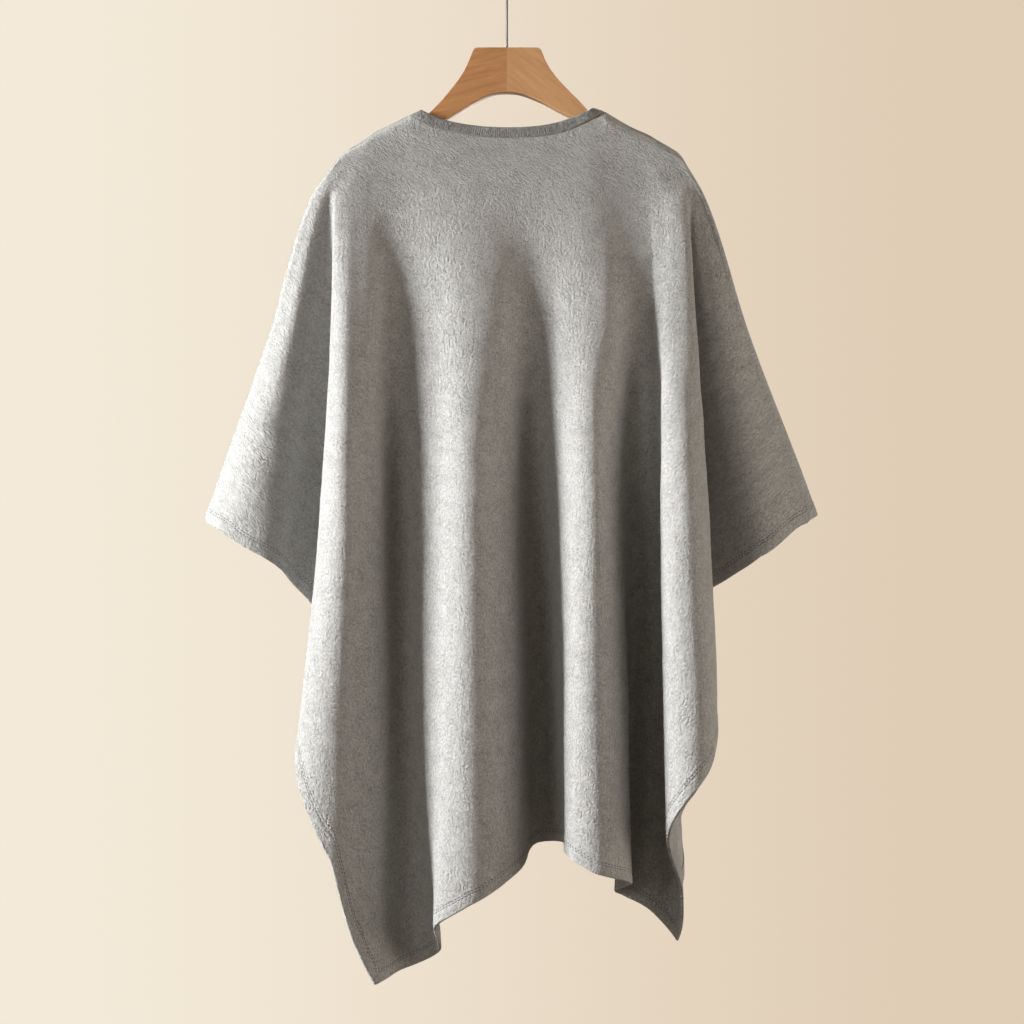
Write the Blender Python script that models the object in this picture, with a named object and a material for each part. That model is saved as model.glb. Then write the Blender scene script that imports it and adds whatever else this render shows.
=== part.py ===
# A knitted poncho sweater that hangs on a flat wooden hanger with a wire hook.
# Two wide panels are joined along the shoulders and sleeve tops, and the sides are open.
# The sizes below are in millimetres. The origin is the inside top of the hook, +Z is up,
# the back panel is on the -Y side and the front panel is on the +Y side.
import math

import bmesh
import bpy
import numpy as np

MM = 0.001

# Cloth
WALL = 2.4  # thickness of the knit
HEM_WALL = 3.4  # thickness where the edge is turned up
HEM_WIDTH = 14.0
GAP = 0.3  # space between two pieces that meet
LAP_RADIUS = 12.5  # bend of the cloth over the hanger's arm
SEAM_ROLL = math.radians(34)  # how far the shoulder seam lies to the back of the top line
SEAM_EASE = 5.0  # fold lines over which the seam comes back to the top line at the sleeves
BAND_HEIGHT = 12.0
BAND_THICKNESS = 3.4
BAND_ROUND = 1.2  # chamfer along its upper edge
BAND_SEAT = 0.45  # space between the band and the edge of a panel
BAND_SLACK = 0.5  # more of that space where the neckline turns over the hanger
BAND_SMOOTHING = 3  # rounds of averaging along its upper edge
BAND_CLEARANCE = 1.8  # space between the band and the faces of the hanger
BAND_TILT = math.radians(22)  # how far the band stands off where it crosses the hanger
BAND_SIDE = 0.6  # beyond this slant of the cloth the band lies beside the hanger, not on it

# Rows of the panels, from the seam to the hem
LAP_ROWS = 4
LAP_STEP = 4.5  # height between the first rows at the sleeve tips
LAP_EASE = 4.0  # fold lines from the sleeve tip to where the cloth lies fully over the arm
NECK_LAP = 0.45  # share of the lap's length that is left where the neckline has passed it
DRAPE_ROWS = 20
HEM_STEP = 1.5  # height between the last row of the wall and the first of the hem
HEM_LIMIT = 3.2  # greatest height of the hem's band on a steep edge, in hem widths

# Heights at which the fold lines are placed
LEVELS = (-275, -420, -640, -880, -1120)

# How far each kind of fold line stands out from the middle plane at those heights
REACH = {
    "seam": (0, 0, 0, 0, 0),
    "lap": (8, 9, 10, 10, 10),
    "edge": (11, 13, 16, 16, 16),
    "wing": (13, 22, 34, 36, 36),
    "inner": (12, 18, 26, 26, 26),
    "recess": (11, 8, 5, 5, 5),
    "nose": (15, 37, 74, 96, 108),
    "crest": (18, 57, 108, 140, 156),
    "flank": (17, 42, 70, 88, 96),
    "floor": (15, 22, 24, 22, 22),
    "rise": (15, 24, 30, 34, 36),
    "corner": (16, 28, 40, 50, 54),
}

# Columns between a fold line of each kind and the next line
STEPS = {
    "seam": 1, "lap": 1, "edge": 2, "wing": 2, "inner": 2, "recess": 3,
    "nose": 3, "crest": 3, "flank": 2, "floor": 2, "rise": 2, "corner": 2,
}

# Fold lines of the back panel, from the left sleeve to the right one:
# name, kind, x on the shoulder line, x at each of LEVELS, height of the lower edge
BACK_FOLDS = (
    ("seam_left", "seam", -187, -220, -264, -340, -412, -478, -633),
    ("lap_left", "lap", -184.5, -217, -260, -334, -404, -465, -637),
    ("wing_edge_left", "edge", -181, -212, -253, -324, -386, -442, -641),
    ("wing_crest_left", "wing", -176.5, -207, -239, -291, -339, -383, -658),
    ("wing_inner_left", "inner", -171.5, -204, -220, -248, -268, -285, -688),
    ("recess_left", "recess", -166.5, -199.5, -194, -187, -192, -198, -779),
    ("nose_1", "nose", -161, -194, -199, -207, -223, -243, -890),
    ("crest_1", "crest", -153, -177, -178, -174, -183, -193, -988),
    ("hem_corner_left", "flank", -142, -154, -153, -144, -143, -142, -1134),
    ("floor_1", "floor", -128, -126, -123, -114, -110, -110, -1123),
    ("corner_2", "corner", -118, -106, -83, -69, -69, -69, -1096),
    ("nose_2", "nose", -108, -94, -80, -75, -75, -78, -1071),
    ("crest_2", "crest", -69, -61, -49, -39, -39, -40, -1043),
    ("flank_2", "flank", -32, -23, -10, 1, 8, 13, -1014),
    ("floor_2", "floor", 7, 19, 34, 43, 44, 44, -990),
    ("corner_3", "corner", 43, 50, 64, 73, 72, 72, -986),
    ("nose_3", "nose", 62, 60, 63, 64, 65, 63, -992),
    ("crest_3", "crest", 87, 83, 89, 93, 92, 94, -1008),
    ("flank_3", "flank", 110, 108, 111, 119, 129, 136, -1025),
    ("floor_3", "floor", 129, 130, 139, 145, 139, 121, -1049),
    ("rise_3", "rise", 141, 146, 154, 160, 158, 152, -1061),
    ("hem_corner_right", "rise", 150, 157, 164, 170, 178, 189, -1098),
    ("corner_4", "corner", 154.5, 162, 173, 179, 183, 194, -1042),
    ("nose_4", "nose", 157.5, 167, 170, 168, 171, 181, -967),
    ("crest_4", "crest", 162.5, 180, 185, 192, 195, 192, -914),
    ("side_4", "nose", 168.5, 198.5, 208, 219, 225, 212, -874),
    ("recess_right", "recess", 173.5, 204.5, 202, 207, 205, 205, -799),
    ("wing_inner_right", "inner", 178.5, 209, 223, 247, 269, 291, -694),
    ("wing_crest_right", "wing", 183.5, 213.5, 242, 290, 340, 378, -661),
    ("wing_edge_right", "edge", 188, 217, 260, 335, 393, 448, -634),
    ("lap_right", "lap", 191.5, 219.5, 265, 345, 410, 472, -630),
    ("seam_right", "seam", 194, 222, 269, 351, 419, 485, -628),
)

# Fold lines of the front panel, with the same columns
FRONT_FOLDS = (
    ("seam_left", "seam", -187, -220, -264, -340, -412, -478, -633),
    ("lap_left", "lap", -184.5, -218, -261.5, -335, -405, -469, -635),
    ("wing_edge_left", "edge", -181, -215, -256, -328, -391, -448, -641),
    ("wing_crest_left", "wing", -176.5, -211, -243, -300, -349, -395, -660),
    ("wing_inner_left", "inner", -171.5, -206, -225, -256, -277, -293, -698),
    ("recess_left", "recess", -166.5, -200.5, -190, -180, -185, -190, -791),
    ("nose_1", "nose", -161, -195, -200, -207, -220, -233, -916),
    ("crest_1", "crest", -153, -177, -180, -175, -184, -192, -1041),
    ("hem_corner_left", "flank", -142, -156, -152, -137, -136, -137, -1130),
    ("floor_1", "floor", -128, -127, -119, -98, -92, -89, -1091),
    ("corner_2", "corner", -118, -116, -83, -58, -49, -47, -1071),
    ("nose_2", "nose", -108, -105, -81, -67, -61, -58, -1069),
    ("crest_2", "crest", -69, -76, -47, -30, -22, -18, -1062),
    ("flank_2", "flank", -32, -26, -10, 8, 21, 27, -1029),
    ("floor_2", "floor", 7, 12, 26, 44, 52, 55, -991),
    ("corner_3", "corner", 43, 44, 55, 74, 81, 83, -993),
    ("nose_3", "nose", 62, 55, 58, 64, 71, 73, -1010),
    ("crest_3", "crest", 87, 92, 84, 97, 105, 108, -1034),
    ("flank_3", "flank", 110, 116, 109, 121, 136, 143, -1036),
    ("floor_3", "floor", 129, 131, 137, 147, 151, 153, -1036),
    ("rise_3", "rise", 141, 146, 154, 163, 169, 172, -1049),
    ("hem_corner_right", "rise", 150, 158, 164, 173, 184, 190, -1079),
    ("corner_4", "corner", 154.5, 163, 173, 184, 195, 201, -1051),
    ("nose_4", "nose", 157.5, 168, 172, 179, 194, 207, -1013),
    ("crest_4", "crest", 162.5, 180, 189, 206, 217, 211, -966),
    ("side_4", "nose", 168.5, 199, 208, 223, 232, 214, -899),
    ("recess_right", "recess", 173.5, 205, 200, 203, 199, 199, -793),
    ("wing_inner_right", "inner", 178.5, 210.5, 227, 254, 275, 298, -698),
    ("wing_crest_right", "wing", 183.5, 215.5, 246, 299, 350, 390, -663),
    ("wing_edge_right", "edge", 188, 219, 262, 339, 398, 454, -635),
    ("lap_right", "lap", 191.5, 220.5, 266, 347, 413, 477, -629),
    ("seam_right", "seam", 194, 222, 269, 351, 419, 485, -628),
)
NECK_FOLDS = ("nose_2", "flank_3")  # the neckline runs between these lines

# Top line of the shoulders, sleeve side first: x, height
SHOULDER_LEFT = (
    (-187, -226.5), (-181, -221), (-166, -212), (-155, -204), (-137, -194), (-118, -185),
    (-108, -180),
)
SHOULDER_RIGHT = (
    (194, -225), (190, -221), (175, -212), (159, -203), (139, -194), (123, -185),
    (110, -177),
)

# Back neckline from left to right: x, height. The front one is half an ellipse.
BACK_NECK = (
    (-108, -182), (-94, -190), (-77, -198), (-68, -200), (-38, -206), (-4, -208),
    (29, -207), (62, -202), (90, -190), (110, -179),
)
BACK_NECK_ROLL = (34, 62, 90)  # degrees, in the first columns after the neck point
FRONT_NECK_ROLL = (-34, 8, 49, 90)
FRONT_NECK_DROP = 58.0
FRONT_NECK_INSET = (0, 2, 5, 10)  # how far those columns lie towards the middle
FRONT_NECK_START = math.radians(30)  # slope at which its arc begins

# Hanger arms: distance from the middle, height of the top, height of the underside
ARM_LEFT = (
    (0.15, -105.5, -155), (20, -105.5, -158), (34, -105.7, -165), (37.5, -108, -167),
    (41.5, -118, -169.5), (50, -135, -174.5), (64, -154, -183.5), (78, -170, -192),
    (92, -183, -199), (108, -193, -209), (140, -208, -225), (163, -221, -239),
    (174, -230, -245), (180, -236, -247),
)
ARM_RIGHT = (
    (0.15, -105.5, -155), (20, -105.5, -157.5), (34, -105.7, -163), (38, -108, -164.5),
    (42, -118, -166.5), (49, -130.5, -171), (64, -148.5, -179), (79, -163.5, -186),
    (88, -173, -191), (97, -181.5, -197), (110, -191, -205), (140, -206, -221),
    (168, -221, -237), (180, -230, -243), (186, -235, -245),
)
ARM_THICKNESS = 17.0
ARM_EDGE = 3.0  # rounding of the arm's long edges
ARM_EDGE_MIDDLE = 0.3  # where the middle of that rounding lies, counted in ARM_EDGE
ARM_TIP_START = 162.0  # beyond this the arm thins to a rounded tip
ARM_TIP_LENGTH = 27.0

# Hook
WIRE_RADIUS = 1.3
HOOK_INNER_RADIUS = 19.0
HOOK_BEND_RADIUS = 10.0
HOOK_TIP_ANGLE = 200.0
STEM_TOP = -47.6
STEM_FOOT = -128.0
BORE_FOOT = -130.0
BORE_RADIUS = WIRE_RADIUS + 0.35
BORE_TOP = -100.0
HOOK_BEND_STEPS = 4
HOOK_STEPS = 20

COLORS = {
    "knit": (0.335, 0.325, 0.31),
    "rib": (0.30, 0.29, 0.275),
    "wood": (0.56, 0.31, 0.14),
    "wood_light": (0.64, 0.38, 0.19),
    "wire": (0.11, 0.10, 0.10),
}


def clear_scene():
    for item in list(bpy.data.objects):
        bpy.data.objects.remove(item)


def new_collection(name):
    group = bpy.data.collections.new(name)
    bpy.context.scene.collection.children.link(group)
    return group


def material(name, color, roughness, metallic=0.0):
    finish = bpy.data.materials.new(name)
    finish.use_nodes = True
    shader = finish.node_tree.nodes["Principled BSDF"]
    shader.inputs["Base Color"].default_value = (*color, 1.0)
    shader.inputs["Roughness"].default_value = roughness
    shader.inputs["Metallic"].default_value = metallic
    return finish


def add_object(name, data, finish, group):
    item = bpy.data.objects.new(name, data)
    item.data.materials.append(finish)
    group.objects.link(item)
    return item


def limited_slopes(knots, values):
    """Slopes of a smooth curve through the values that never overshoots them."""
    widths = np.diff(knots)
    rises = np.diff(values) / widths
    slopes = np.empty(len(knots))
    slopes[0] = rises[0]
    slopes[-1] = rises[-1]
    for k in range(1, len(knots) - 1):
        before, after = rises[k - 1], rises[k]
        if before * after <= 0:
            slopes[k] = 0.0
            continue
        first = 2 * widths[k] + widths[k - 1]
        second = widths[k] + 2 * widths[k - 1]
        slopes[k] = (first + second) / (first / before + second / after)
    return slopes


def smooth_values(knots, values, places):
    """Values of that curve at the given places; the knots rise."""
    knots = np.asarray(knots, float)
    values = np.asarray(values, float)
    slopes = limited_slopes(knots, values)
    spans = np.clip(np.searchsorted(knots, places, side="right") - 1, 0, len(knots) - 2)
    width = knots[spans + 1] - knots[spans]
    share = (places - knots[spans]) / width
    ahead = values[spans + 1]
    here = values[spans]
    rise = share * share * (3 - 2 * share)
    start = share * (1 - share) ** 2 * width * slopes[spans]
    finish = share * share * (share - 1) * width * slopes[spans + 1]
    return here + (ahead - here) * rise + start + finish


def section_curve(points, places, first_way, last_way):
    """A rounded line through the points of one level, read at places counted in points."""
    points = np.asarray(points, float)
    chords = np.diff(points, axis=0)
    lengths = np.linalg.norm(chords, axis=1)
    ways = np.empty_like(points)
    near = chords[:-1] / lengths[:-1, None] * lengths[1:, None]
    far = chords[1:] / lengths[1:, None] * lengths[:-1, None]
    ways[1:-1] = near + far
    ways[0] = first_way
    ways[-1] = last_way
    ways /= np.linalg.norm(ways, axis=1)[:, None]
    spans = np.clip(places.astype(int), 0, len(points) - 2)
    share = (places - spans)[:, None]
    length = lengths[spans][:, None]
    rise = share * share * (3 - 2 * share)
    start = share * (1 - share) ** 2 * length * ways[spans]
    finish = share * share * (share - 1) * length * ways[spans + 1]
    return points[spans] + chords[spans] * rise + start + finish


def column_places(folds):
    """Where the columns stand, counted in fold lines."""
    places = []
    for index, fold in enumerate(folds[:-1]):
        steps = STEPS[fold[1]]
        places += [index + step / steps for step in range(steps)]
    return np.array(places + [len(folds) - 1.0])


def fold_number(folds, name):
    return [fold[0] for fold in folds].index(name)


def edge_heights(folds, places):
    """Height of the lower edge in each column; it turns sharply at the two hem corners."""
    breaks = [0, fold_number(folds, "hem_corner_left"),
              fold_number(folds, "hem_corner_right"), len(folds) - 1]
    ends = np.array([fold[8] for fold in folds], float)
    heights = np.empty(len(places))
    for first, last in zip(breaks[:-1], breaks[1:]):
        inside = (places >= first) & (places <= last)
        knots = np.arange(first, last + 1)
        heights[inside] = smooth_values(knots, ends[first:last + 1], places[inside])
    return heights


def top_line(x):
    """Height and slope of the shoulder line at x."""
    rows = SHOULDER_LEFT if x < 0 else SHOULDER_RIGHT[::-1]
    knots = [row[0] for row in rows]
    values = [row[1] for row in rows]
    reach = np.array([x - 1.0, x, x + 1.0])
    heights = smooth_values(knots, values, np.clip(reach, knots[0], knots[-1]))
    return heights[1], (heights[2] - heights[0]) / 2


def neck_points(side, count):
    """Points of one panel's neckline and how far the cloth has rolled over the arm there."""
    rolls = np.full(count, 90.0)
    if side < 0:
        knots = np.linspace(0, 1, len(BACK_NECK))
        share = np.linspace(0, 1, count)
        x = smooth_values(knots, [row[0] for row in BACK_NECK], share)
        z = smooth_values(knots, [row[1] for row in BACK_NECK], share)
        start = BACK_NECK_ROLL
    else:
        start = FRONT_NECK_ROLL
        turn = len(start) - 1
        left, right = BACK_NECK[0], BACK_NECK[-1]
        x = np.empty(count)
        z = np.empty(count)
        middle = (left[0] + right[0]) / 2
        half = (right[0] - left[0]) / 2 - FRONT_NECK_INSET[turn]
        sweep = np.linspace(FRONT_NECK_START, math.pi - FRONT_NECK_START, count - 2 * turn)
        shoulder = (left[1] + right[1]) / 2 - LAP_RADIUS
        start_sine = math.sin(FRONT_NECK_START)
        fall = (np.sin(sweep) - start_sine) / (1 - start_sine)
        x[turn:count - turn] = middle - half * np.cos(sweep) / math.cos(FRONT_NECK_START)
        z[turn:count - turn] = shoulder - FRONT_NECK_DROP * fall
        for step in range(turn):
            drop = LAP_RADIUS * (1 - math.cos(math.radians(start[step])))
            apex = LAP_RADIUS * (1 - math.cos(SEAM_ROLL))
            x[step] = left[0] + FRONT_NECK_INSET[step]
            z[step] = left[1] + apex - drop
            x[count - 1 - step] = right[0] - FRONT_NECK_INSET[step]
            z[count - 1 - step] = right[1] + apex - drop
    rolls[:len(start)] = start
    rolls[-len(start):] = start[::-1]
    return x, z, np.radians(rolls)


def lap_path(roll, length):
    """Drop below the top line and reach to the side, at a length along the lap."""
    bent = min(roll + length / LAP_RADIUS, math.pi / 2)
    straight = length - (bent - roll) * LAP_RADIUS
    drop = LAP_RADIUS * (1 - math.cos(bent)) + straight
    return drop, LAP_RADIUS * math.sin(bent), bent


def panel_grid(folds, side):
    """Middle points of one panel, by row and column. side is -1 for the back, 1 for the front."""
    places = column_places(folds)
    last = len(folds) - 1
    ease = np.clip(np.minimum(places, last - places) / SEAM_EASE, 0, 1)
    seam_rolls = SEAM_ROLL * ease * ease * (3 - 2 * ease)
    own_rolls = -side * seam_rolls
    levels = []
    for number in range(len(LEVELS)):
        points = [(fold[3 + number], REACH[fold[1]][number]) for fold in folds]
        levels.append(section_curve(points, places, (0, 1), (0, -1)))
    levels = np.array(levels)
    ends = edge_heights(folds, places)

    top_x = smooth_values(np.arange(len(folds)), [fold[2] for fold in folds], places)
    top_kinds = {"seam": 0.0, "lap": 8.0}
    top_reach = smooth_values(
        np.arange(len(folds)), [top_kinds.get(fold[1], LAP_RADIUS) for fold in folds], places)
    rolls = own_rolls.copy()
    tops = np.empty(len(places))
    slopes = np.empty(len(places))
    for column, x in enumerate(top_x):
        tops[column], slopes[column] = top_line(x)
    neck_first = fold_number(folds, NECK_FOLDS[0])
    neck_last = fold_number(folds, NECK_FOLDS[1])
    neck = np.where((places >= neck_first) & (places <= neck_last))[0]
    neck_x, neck_z, neck_roll = neck_points(side, len(neck))
    top_x[neck] = neck_x
    tops[neck[1:-1]] = (neck_z + LAP_RADIUS * (1 - np.cos(neck_roll)))[1:-1]
    rolls[neck] = neck_roll
    level = (rolls[neck] - own_rolls[neck]) / (math.pi / 2 - own_rolls[neck])
    slopes[neck] = np.where(np.arange(len(neck)) < len(neck) / 2, slopes[neck[0]],
                            slopes[neck[-1]]) * (1 - level)

    rows = LAP_ROWS + DRAPE_ROWS + 2
    grid = np.empty((rows, len(places), 3))
    lap_normals = np.zeros((LAP_ROWS, len(places), 3))
    for column, place in enumerate(places):
        own_roll = own_rolls[column]
        base_drop = LAP_RADIUS * (1 - math.cos(own_roll))
        lap_lengths = np.linspace(0, LAP_RADIUS * (math.pi / 2 - own_roll), LAP_ROWS)
        inward = min(1.0, min(place, last - place) / LAP_EASE)
        share = (rolls[column] - own_roll) / (math.pi / 2 - own_roll)
        lean = math.hypot(1, slopes[column])
        heights = []
        reaches = []
        for row, length in enumerate(lap_lengths):
            left_over = 1 - (1 - NECK_LAP) * share
            drop, reach, roll = lap_path(rolls[column], length * left_over)
            plain = base_drop + LAP_STEP * row
            heights.append(tops[column] - (plain + (drop - plain) * inward) * lean)
            reaches.append(min(reach, top_reach[column]))
            if inward == 1.0:
                up = np.array((-slopes[column], 0, 1)) / lean
                lap_normals[row, column] = math.cos(roll) * up
                lap_normals[row, column, 1] = side * math.sin(roll)
        knots = np.array([-heights[-1]] + [-level for level in LEVELS])
        depths = [reaches[-1]] + list(levels[:, column, 1])
        spread = np.array([-heights[0]] + [-level for level in LEVELS])
        across = [top_x[column]] + list(levels[:, column, 0])
        hem = hem_drop(levels, places, ends, column)
        body = np.linspace(heights[-1], ends[column] + hem + HEM_STEP, DRAPE_ROWS)[1:]
        heights += list(body) + [ends[column] + hem, ends[column] + hem / 2, ends[column]]
        heights = np.array(heights)
        x = smooth_values(spread, across, -heights)
        depth = np.array(reaches + list(smooth_values(knots, depths, -heights[LAP_ROWS:])))
        grid[:, column, 0] = x
        grid[:, column, 1] = side * depth
        grid[:, column, 2] = heights
    return grid, lap_normals, seam_rolls, neck


def hem_drop(levels, places, ends, column):
    """Upright height of the hem's turn-up, so that it is HEM_WIDTH wide across its edge."""
    if column in (0, len(places) - 1):
        return HEM_WIDTH
    before, after = max(column - 1, 0), min(column + 1, len(places) - 1)
    level = int(np.argmin(np.abs(np.array(LEVELS) - ends[column])))
    run = np.linalg.norm(levels[level, after] - levels[level, before])
    rise = abs(ends[after] - ends[before])
    return min(HEM_WIDTH * math.hypot(1, rise / max(run, 1.0)), HEM_LIMIT * HEM_WIDTH)


def grid_normals(grid, lap_normals, side):
    along = np.gradient(grid, axis=1)
    down = np.gradient(grid, axis=0)
    normals = np.cross(along, down)
    normals /= np.linalg.norm(normals, axis=2)[:, :, None]
    if normals[:, :, 1].mean() * side < 0:
        normals = -normals
    known = np.linalg.norm(lap_normals, axis=2) > 0.5
    normals[:LAP_ROWS][known] = lap_normals[known]
    return normals


def seam_frames(points, rolls):
    """Outward way and lap way at each point of a seam that runs from the sleeve to the neck."""
    run = np.gradient(points, axis=0)
    run[:, 1] = 0
    run /= np.linalg.norm(run, axis=1)[:, None]
    outward = np.stack([-run[:, 2], np.zeros(len(run)), run[:, 0]], axis=1)
    if outward[len(run) // 2, 2] < 0:
        outward = -outward
    back = np.array([0.0, -1.0, 0.0])
    level = np.cos(rolls)[:, None]
    upright = np.sin(rolls)[:, None]
    normal = level * outward + upright * back
    lap = level * back - upright * outward
    return normal, lap


def part_seam(grid, normals, seam_rolls, side, neck):
    """Moves the seam edges of a panel off the shared seam line, by half of GAP."""
    rows = grid.shape[0]
    last = grid.shape[1] - 1
    left = [(row, 0) for row in range(rows - 1, 0, -1)] + [(0, c) for c in range(neck[0] + 1)]
    right = [(row, last) for row in range(rows - 1, 0, -1)]
    right += [(0, c) for c in range(last, neck[-1] - 1, -1)]
    for path in (left, right):
        points = np.array([grid[place] for place in path])
        rolls = np.array([seam_rolls[place[1]] for place in path])
        normal, lap = seam_frames(points, rolls)
        for place, point, way, shift in zip(path, points, normal, lap):
            normals[place] = way
            grid[place] = point - side * shift * GAP / 2
    return grid, normals


def wall_mesh(name, grid, normals, walls):
    """A closed wall of the given thickness about a grid of middle points."""
    rows, columns = grid.shape[:2]
    offset = normals * (walls / 2)[:, :, None]
    mesh = bpy.data.meshes.new(name)
    bm = bmesh.new()
    outer = [[bm.verts.new(p * MM) for p in line] for line in grid + offset]
    inner = [[bm.verts.new(p * MM) for p in line] for line in grid - offset]
    for r in range(rows - 1):
        for c in range(columns - 1):
            bm.faces.new((outer[r][c], outer[r + 1][c], outer[r + 1][c + 1], outer[r][c + 1]))
            bm.faces.new((inner[r][c], inner[r][c + 1], inner[r + 1][c + 1], inner[r + 1][c]))
    rim = [(0, c) for c in range(columns)] + [(r, columns - 1) for r in range(1, rows)]
    rim += [(rows - 1, c) for c in range(columns - 2, -1, -1)]
    rim += [(r, 0) for r in range(rows - 2, 0, -1)]
    for here, ahead in zip(rim, rim[1:] + rim[:1]):
        bm.faces.new((outer[here[0]][here[1]], outer[ahead[0]][ahead[1]],
                      inner[ahead[0]][ahead[1]], inner[here[0]][here[1]]))
    bmesh.ops.recalc_face_normals(bm, faces=bm.faces)
    bm.to_mesh(mesh)
    bm.free()
    return mesh


def make_panel(name, folds, side, finish, group):
    grid, lap_normals, seam_rolls, neck = panel_grid(folds, side)
    normals = grid_normals(grid, lap_normals, side)
    grid, normals = part_seam(grid, normals, seam_rolls, side, neck)
    walls = np.full(grid.shape[:2], WALL)
    walls[-3:] = HEM_WALL
    mesh = wall_mesh(name, grid, normals, walls)
    add_object(name, mesh, finish, group)
    return grid[0, neck], normals[0, neck], grid[1, neck]


def ring_mesh(name, sections):
    """A closed tube through sections that all have the same number of corners."""
    mesh = bpy.data.meshes.new(name)
    bm = bmesh.new()
    rings = [[bm.verts.new(p * MM) for p in section] for section in sections]
    for here, ahead in zip(rings, rings[1:] + rings[:1]):
        for k in range(len(here)):
            after = (k + 1) % len(here)
            bm.faces.new((here[k], here[after], ahead[after], ahead[k]))
    bmesh.ops.recalc_face_normals(bm, faces=bm.faces)
    bm.to_mesh(mesh)
    bm.free()
    return mesh


def make_neckband(back_edge, front_edge, finish, group):
    """A folded band that stands on the necklines of both panels."""
    back_points, back_normals, back_below = back_edge
    front_points, front_normals, front_below = front_edge
    points = np.concatenate([back_points, front_points[-2:0:-1]])
    normals = np.concatenate([back_normals, front_normals[-2:0:-1]])
    below = np.concatenate([back_below, front_below[-2:0:-1]])
    for end in (0, len(back_points) - 1):
        points[end] = (back_points[end] + front_points[0 if end == 0 else -1]) / 2
    run = np.roll(points, -1, axis=0) - np.roll(points, 1, axis=0)
    upward = np.cross(normals, run)
    upward /= np.linalg.norm(upward, axis=1)[:, None]
    middle = len(back_points) // 2
    if np.dot(upward[middle], points[middle] - below[middle]) < 0:
        upward = -upward
    tilts = BAND_TILT * np.clip(normals[:, 2:], 0, 1)
    upper = points + BAND_HEIGHT * (upward * np.cos(tilts) + normals * np.sin(tilts))
    for _ in range(BAND_SMOOTHING):
        upper = (np.roll(upper, 1, axis=0) + 2 * upper + np.roll(upper, -1, axis=0)) / 4
    half = BAND_THICKNESS / 2
    beside = np.abs(normals[:, 1]) > BAND_SIDE
    clear = ARM_THICKNESS / 2 + half + BAND_CLEARANCE
    sides = np.sign(normals[:, 1])
    upper[beside, 1] = (sides * np.maximum(sides * upper[:, 1], clear))[beside]
    sections = []
    for point, normal, run_way, top in zip(points, normals, run, upper):
        height = np.linalg.norm(top - point)
        up = (top - point) / height
        out_way = np.cross(up, run_way)
        out_way *= math.copysign(1, np.dot(out_way, normal)) / np.linalg.norm(out_way)
        low = BAND_SEAT + half * abs(np.dot(up, normal)) + BAND_SLACK * max(normal[2], 0)
        shoulder = height - BAND_ROUND
        corners = (
            (low, -half), (low, half), (shoulder, half), (height, half - BAND_ROUND),
            (height, BAND_ROUND - half), (shoulder, -half),
        )
        sections.append([point + up * rise + out_way * out for rise, out in corners])
    add_object("neckband", ring_mesh("neckband", sections), finish, group)


def arm_section(x, top, bottom, sign):
    beyond = max(0.0, x - ARM_TIP_START) / ARM_TIP_LENGTH
    half = ARM_THICKNESS / 2 * math.sqrt(1 - beyond * beyond)
    edge = min(ARM_EDGE, (top - bottom) / 3, half * 2 / 3)
    middle = edge * ARM_EDGE_MIDDLE
    quarter = ((half, edge), (half - middle, middle), (half - edge, 0))
    corners = [(y, top - drop) for y, drop in quarter]
    corners += [(-y, top - drop) for y, drop in reversed(quarter)]
    corners += [(-y, bottom + rise) for y, rise in quarter]
    corners += [(y, bottom + rise) for y, rise in reversed(quarter)]
    return [np.array((sign * x, y, z)) for y, z in corners]


def make_arm(name, rows, sign, finish, group, cutter):
    """One half of the hanger, lofted through upright sections and grooved for the stem."""
    mesh = bpy.data.meshes.new(name)
    bm = bmesh.new()
    rings = [[bm.verts.new(p * MM) for p in arm_section(*row, sign)] for row in rows]
    for here, ahead in zip(rings[:-1], rings[1:]):
        for k in range(len(here)):
            after = (k + 1) % len(here)
            bm.faces.new((here[k], here[after], ahead[after], ahead[k]))
    bm.faces.new(rings[0])
    bm.faces.new(rings[-1])
    bmesh.ops.recalc_face_normals(bm, faces=bm.faces)
    bm.to_mesh(mesh)
    bm.free()
    item = add_object(name, mesh, finish, group)
    groove = item.modifiers.new("stem_groove", "BOOLEAN")
    groove.operation = "DIFFERENCE"
    groove.solver = "EXACT"
    groove.object = cutter


def make_stem_cutter(group):
    bm = bmesh.new()
    bmesh.ops.create_cone(
        bm, cap_ends=True, segments=16, radius1=BORE_RADIUS * MM, radius2=BORE_RADIUS * MM,
        depth=(BORE_TOP - BORE_FOOT) * MM)
    mesh = bpy.data.meshes.new("stem_cutter")
    bm.to_mesh(mesh)
    bm.free()
    cutter = bpy.data.objects.new("stem_cutter", mesh)
    cutter.location = (0, 0, (BORE_TOP + BORE_FOOT) / 2 * MM)
    cutter.hide_render = True
    cutter.display_type = "WIRE"
    group.objects.link(cutter)
    return cutter


def hook_points():
    """Middle line of the wire: stem, bend, and the open loop that goes over a rail."""
    radius = HOOK_INNER_RADIUS + WIRE_RADIUS
    center = np.array((0.0, -HOOK_INNER_RADIUS))
    bend = np.array((HOOK_BEND_RADIUS, STEM_TOP))
    toward = bend - center
    meet = math.atan2(toward[1], toward[0])
    points = [(0.0, STEM_FOOT), (0.0, (STEM_FOOT + STEM_TOP) / 2), (0.0, STEM_TOP)]
    arcs = (
        (bend, HOOK_BEND_RADIUS, math.pi, meet + math.pi, HOOK_BEND_STEPS),
        (center, radius, meet, math.radians(HOOK_TIP_ANGLE), HOOK_STEPS),
    )
    for middle, size, first, last, steps in arcs:
        for step in range(1, steps + 1):
            angle = first + (last - first) * step / steps
            points.append(tuple(middle + size * np.array((math.cos(angle), math.sin(angle)))))
    return points


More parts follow.
